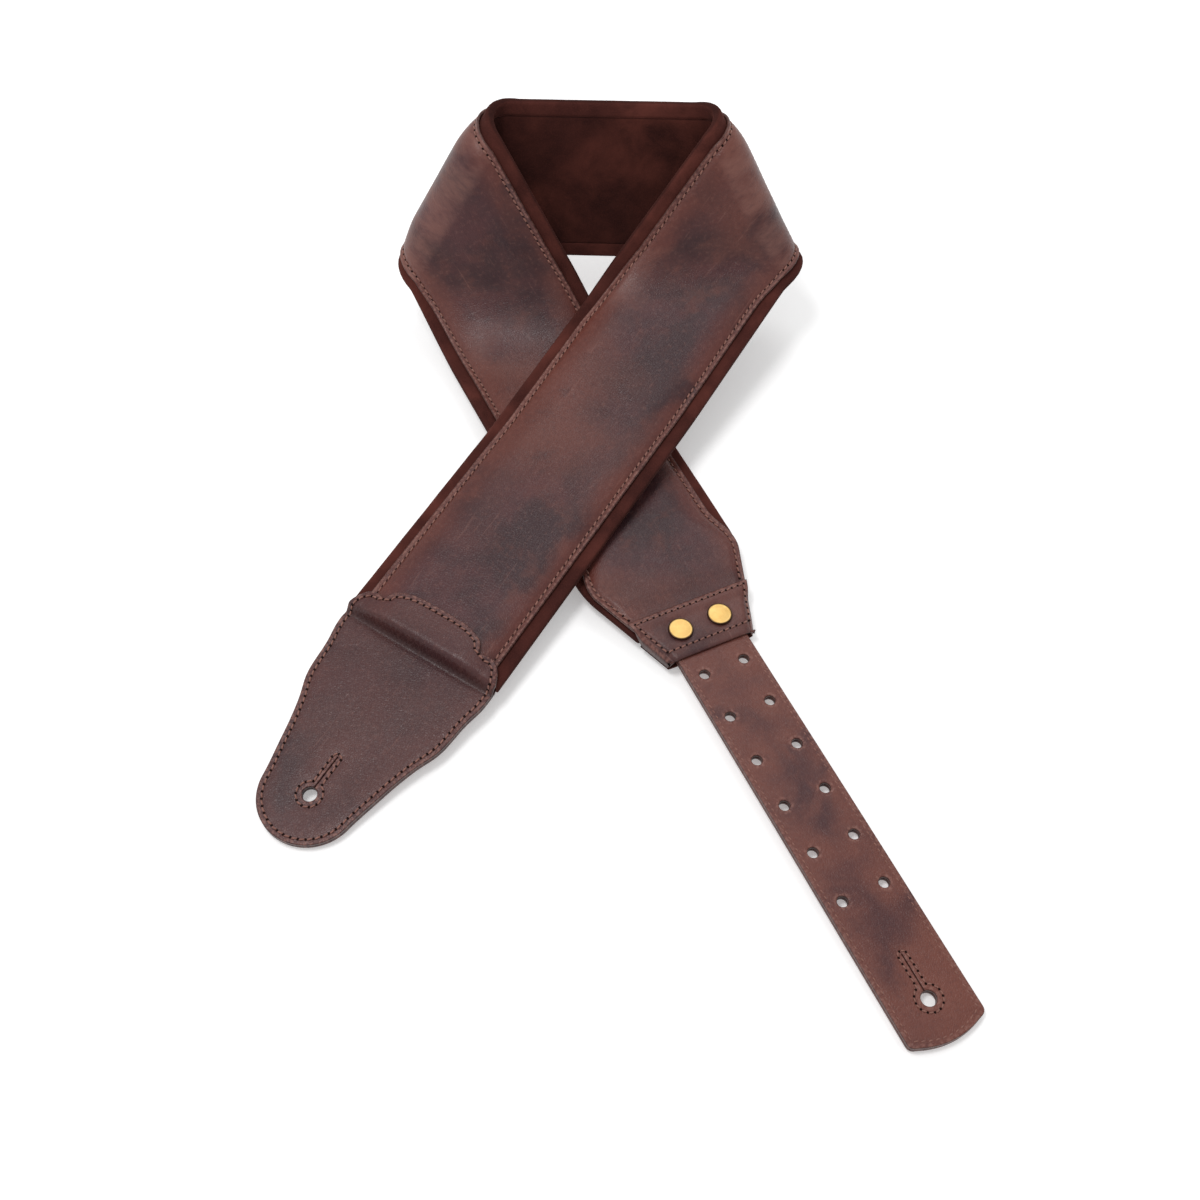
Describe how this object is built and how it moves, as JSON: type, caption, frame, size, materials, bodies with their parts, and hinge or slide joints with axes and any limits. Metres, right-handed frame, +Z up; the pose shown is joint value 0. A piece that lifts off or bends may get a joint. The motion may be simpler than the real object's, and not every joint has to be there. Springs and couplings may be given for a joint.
{
  "type": "guitar strap",
  "caption": "Wide padded leather guitar strap laid in a crossed loop, with a stitched end tab and an adjustable snap-fixed tail.",
  "frame": {"origin": "middle of the underside of the whole lay, on the surface that it rests on", "axes": "+Z up; the neck band is at +Y, the end tab and the tail point towards -Y; +X to the right"},
  "size_m": [0.3284, 0.4813, 0.1272],
  "materials": {
    "oiled_leather": "oiled pull-up leather, dark brown, soft sheen",
    "suede": "matt suede, dark red-brown",
    "padding": "soft closed-cell foam",
    "thread": "waxed thread, red-brown",
    "brass": "satin brass with a lacquered cap"
  },
  "bodies": {
    "strap": {"front_leather": "oiled_leather", "foam_padding": "padding", "suede_backing": "suede", "edge_binding_left": "suede", "edge_binding_right": "suede", "body_seam_left": "thread", "body_seam_right": "thread", "pocket_lining": "suede", "snap_stud_left": "brass", "snap_stud_right": "brass", "snap_post_left": "brass", "snap_post_right": "brass", "tab_front": "oiled_leather", "tab_back": "oiled_leather", "tab_seam": "thread", "tab_bracket_seam": "thread", "tab_keyhole_seam": "thread"},
    "band_flap": {"mouth_band": "oiled_leather", "band_seam": "thread", "snap_cap_left": "brass", "snap_cap_right": "brass", "snap_socket_left": "brass", "snap_socket_right": "brass"},
    "tail": {"tail_front": "oiled_leather", "tail_back": "oiled_leather", "tail_seam": "thread", "tail_keyhole_seam": "thread"}
  },
  "joints": [
    {"name": "tail_slide", "type": "slide", "parent": "strap", "child": "tail", "axis": [-0.4395, 0.898, 0.0194], "range_m": [0, 0.1572]},
    {"name": "band_lift", "type": "hinge", "parent": "strap", "child": "band_flap", "pos_m": [0.0416, -0.01625, 0.01256], "axis": [-0.8965, -0.4399, 0.0522], "range_deg": [0, 40]}
  ]
}
